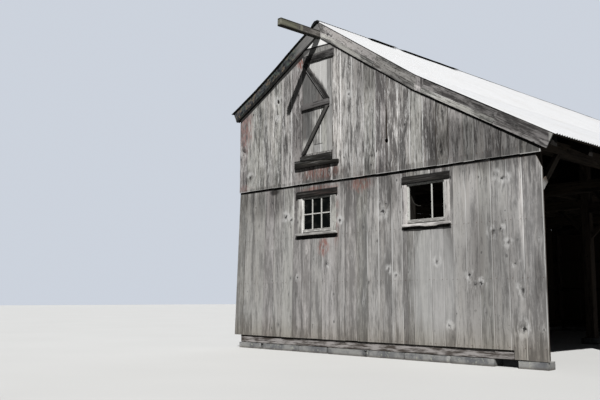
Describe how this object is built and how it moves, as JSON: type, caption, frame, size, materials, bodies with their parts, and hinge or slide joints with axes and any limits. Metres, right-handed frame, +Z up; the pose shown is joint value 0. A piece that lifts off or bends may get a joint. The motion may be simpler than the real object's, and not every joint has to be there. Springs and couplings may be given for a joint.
{
  "type": "timber-framed barn with lean-to",
  "caption": "Weathered timber barn with a hay loft, vertical board siding, a corrugated roof, a hay door with a hoist beam, and an open-sided lean-to.",
  "frame": {"origin": "middle of the plan's bounding box, at ground level under the foundation stones", "axes": "+Z up, +Y from the gable with the hay door to the back gable, +X towards the open side of the lean-to"},
  "size_m": [6.8128, 13.283, 5.8119],
  "materials": {
    "weathered_siding": "silver-grey weathered boards with traces of red paint",
    "grey_trim": "dark weathered plank",
    "frame_timber": "brown hewn timber",
    "roof_boards": "rough brown boards",
    "white_sheet": "white painted corrugated sheet",
    "dark_roofing": "dark roll roofing",
    "fieldstone": "split grey stone",
    "painted_sash": "flaking white paint",
    "glass": "old dusty window glass"
  },
  "bodies": {
    "root": {"foundation_stones": "fieldstone", "front_sill": "frame_timber", "left_sill": "frame_timber", "back_sill": "frame_timber", "left_posts": "frame_timber", "middle_posts": "frame_timber", "right_posts": "frame_timber", "left_plate": "frame_timber", "middle_plate": "frame_timber", "right_plate": "frame_timber", "tie_beams": "frame_timber", "lean_to_ties": "frame_timber", "wall_braces": "frame_timber", "frame_braces": "frame_timber", "loft_joists": "frame_timber", "loft_floor": "roof_boards", "wall_girts": "frame_timber", "gable_studs": "frame_timber", "gable_girts": "frame_timber", "ridge_beam": "grey_trim", "left_rafters": "frame_timber", "right_rafters": "frame_timber", "lean_to_rafters": "frame_timber", "left_roof_boards": "roof_boards", "right_roof_boards": "roof_boards", "lean_to_roof_boards": "roof_boards", "left_roofing": "dark_roofing", "right_roof_sheet": "white_sheet", "lean_to_roof_sheet": "white_sheet", "ridge_cap": "dark_roofing", "front_lower_siding": "weathered_siding", "lean_to_siding": "weathered_siding", "front_upper_siding": "weathered_siding", "left_lower_siding": "weathered_siding", "left_upper_siding": "weathered_siding", "back_lower_siding": "weathered_siding", "back_upper_siding": "weathered_siding", "front_rake_boards": "grey_trim", "back_rake_boards": "grey_trim", "hay_door": "weathered_siding", "hay_door_header": "grey_trim", "hay_door_ledge": "grey_trim", "window_casings": "grey_trim", "window_sashes": "painted_sash", "window_glass": "glass"}
  },
  "joints": []
}
